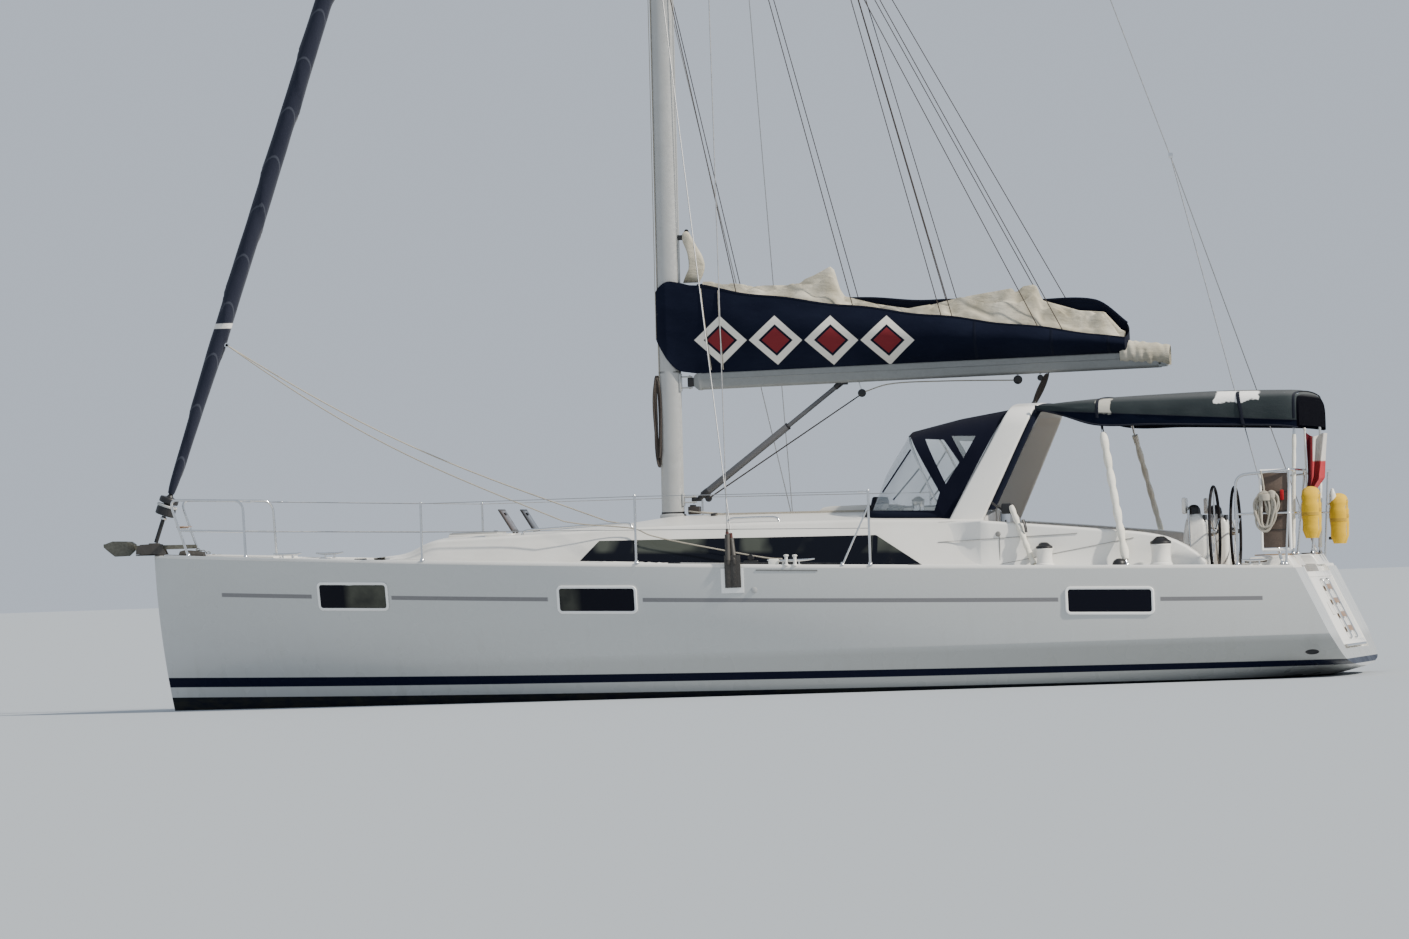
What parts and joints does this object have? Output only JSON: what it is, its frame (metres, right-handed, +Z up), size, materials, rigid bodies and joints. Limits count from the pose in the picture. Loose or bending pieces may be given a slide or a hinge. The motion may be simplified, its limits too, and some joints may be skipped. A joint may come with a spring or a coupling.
{
  "type": "sailing yacht",
  "caption": "Cruising sloop afloat: decked hull with bulb keel, wheel steering, fractional rig with furled genoa, boom with bagged mainsail, sprayhood and bimini.",
  "frame": {"origin": "on the waterline and the centreline, 6.0 m aft of the stem head, the boat at rest in the picture's trim", "axes": "+X towards the stern along the waterline, +Y to starboard, +Z up; the bow points to -X and the port side to -Y"},
  "size_m": [12.5159, 4.196, 20.3849],
  "materials": {
    "gelcoat": "glossy off-white moulded gelcoat with navy and white waterline stripes",
    "deck_moulding": "satin warm white moulding with nonslip panels",
    "antifoul": "matt dark navy bottom paint over iron and laminate",
    "tinted_acrylic": "polished dark tinted acrylic",
    "white_frame": "smooth white plastic",
    "mast_alloy": "silver anodised extrusion",
    "stainless": "polished stainless tube",
    "wire_rope": "laid stainless wire",
    "navy_canvas": "woven acrylic canvas, navy",
    "bimini_canvas": "woven acrylic canvas, dark grey navy",
    "clear_vinyl": "clear flexible window film",
    "sailcloth": "cream woven sailcloth",
    "rope": "braided polyester rope",
    "bronze": "dull cast bronze",
    "teak": "oiled teak laths with dark caulking",
    "black_fitting": "black moulded plastic",
    "galvanised": "weathered galvanised steel",
    "buoy_foam": "yellow covered foam",
    "flag_cloth": "limp red and white bunting",
    "wheel_cover": "dark stitched leather over a steel rim",
    "brown_canvas": "faded brown canvas"
  },
  "bodies": {
    "boat": {"hull": "gelcoat", "deck": "deck_moulding", "keel": "antifoul", "coachroof": "deck_moulding", "roof_window_stbd": "tinted_acrylic", "roof_window_port": "tinted_acrylic", "washboard": "tinted_acrylic", "cockpit_bench_stbd": "teak", "cockpit_bench_port": "teak", "cockpit_table": "deck_moulding", "pedestal_stbd": "deck_moulding", "pedestal_port": "deck_moulding", "saildrive": "mast_alloy", "arch": "deck_moulding", "sprayhood": "navy_canvas", "bimini": "bimini_canvas", "bimini_hoop_fore": "stainless", "bimini_hoop_aft": "stainless", "pulpit": "stainless", "lifelines_stbd": "stainless", "lifelines_port": "stainless", "pushpit_stbd": "stainless", "pushpit_port": "stainless", "lifebuoy_stbd": "buoy_foam", "lifebuoy_port": "buoy_foam", "flag_on_staff": "flag_cloth", "winch_stbd": "stainless", "winch_port": "stainless", "bow_roller": "stainless", "anchor": "galvanised", "mast": "mast_alloy", "spreaders_lower": "mast_alloy", "spreaders_upper": "mast_alloy", "shrouds_stbd": "wire_rope", "shrouds_port": "wire_rope", "backstay": "wire_rope", "forestay": "wire_rope"},
    "boom_rig": {"boom": "mast_alloy", "vang": "mast_alloy", "sail_bag": "navy_canvas"},
    "rudder_blade": {"rudder": "antifoul"},
    "helm_wheel_stbd": {"wheel_stbd": "wheel_cover"},
    "helm_wheel_port": {"wheel_port": "wheel_cover"},
    "screw": {"propeller": "bronze"},
    "furler": {"furled_genoa": "navy_canvas"},
    "stern_platform": {"swim_platform": "gelcoat"},
    "companionway_lid": {"companionway_hatch": "tinted_acrylic"},
    "fore_hatch_lid": {"fore_hatch": "tinted_acrylic"},
    "vent_lid_stbd": {"vent_hatch_stbd": "tinted_acrylic"},
    "vent_lid_port": {"vent_hatch_port": "tinted_acrylic"},
    "locker_lid": {"anchor_locker_lid": "deck_moulding"},
    "leaf_stbd": {"table_leaf_stbd": "teak"},
    "leaf_port": {"table_leaf_port": "teak"}
  },
  "joints": [
    {"name": "boom_swing", "type": "hinge", "parent": "boat", "child": "boom_rig", "pos_m": [-0.562, 0, 3.065], "axis": [0, 0, 1], "range_deg": [-50, 50]},
    {"name": "rudder_turn", "type": "hinge", "parent": "boat", "child": "rudder_blade", "pos_m": [4.75, 0, -1], "axis": [0, 0, 1], "range_deg": [-35, 35]},
    {"name": "wheel_stbd_turn", "type": "hinge", "parent": "boat", "child": "helm_wheel_stbd", "pos_m": [4.665, 0.9, 1.425], "axis": [-1, 0, 0], "range_deg": [-212, 212]},
    {"name": "wheel_port_turn", "type": "hinge", "parent": "boat", "child": "helm_wheel_port", "pos_m": [4.665, -0.9, 1.425], "axis": [-1, 0, 0], "range_deg": [-212, 212]},
    {"name": "propeller_spin", "type": "hinge", "parent": "boat", "child": "screw", "pos_m": [1.95, 0, -0.8], "axis": [1, 0, 0], "continuous": true},
    {"name": "furler_spin", "type": "hinge", "parent": "boat", "child": "furler", "pos_m": [-5.905, 0, 1.893], "axis": [0.3351, 0, 0.9422], "continuous": true},
    {"name": "swim_platform_fold", "type": "hinge", "parent": "boat", "child": "stern_platform", "pos_m": [5.9007, 0, 0.29], "axis": [0, 1, 0], "range_deg": [0, 115]},
    {"name": "companionway_slide", "type": "slide", "parent": "boat", "child": "companionway_lid", "axis": [-1, 0, 0], "range_m": [0, 0.6]},
    {"name": "fore_hatch_lift", "type": "hinge", "parent": "boat", "child": "fore_hatch_lid", "pos_m": [-2.972, 0, 1.6555], "axis": [0, -1, 0], "range_deg": [0, 85]},
    {"name": "vent_hatch_stbd_lift", "type": "hinge", "parent": "boat", "child": "vent_lid_stbd", "pos_m": [-2.245, 0.57, 1.6485], "axis": [0, 1, 0], "range_deg": [-59, 21]},
    {"name": "vent_hatch_port_lift", "type": "hinge", "parent": "boat", "child": "vent_lid_port", "pos_m": [-2.245, -0.57, 1.6485], "axis": [0, 1, 0], "range_deg": [-59, 21]},
    {"name": "anchor_locker_lift", "type": "hinge", "parent": "boat", "child": "locker_lid", "pos_m": [-4.67, 0, 1.4832], "axis": [0, 1, 0], "range_deg": [0, 80]},
    {"name": "table_leaf_stbd_lift", "type": "hinge", "parent": "boat", "child": "leaf_stbd", "pos_m": [3.5, 0.1375, 1.25], "axis": [1, 0, 0], "range_deg": [0, 90]},
    {"name": "table_leaf_port_lift", "type": "hinge", "parent": "boat", "child": "leaf_port", "pos_m": [3.5, -0.1375, 1.25], "axis": [-1, 0, 0], "range_deg": [0, 90]}
  ],
  "couplings": [
    {"joint": "wheel_stbd_turn", "follows": "rudder_turn", "ratio": 6},
    {"joint": "wheel_port_turn", "follows": "rudder_turn", "ratio": 6}
  ]
}
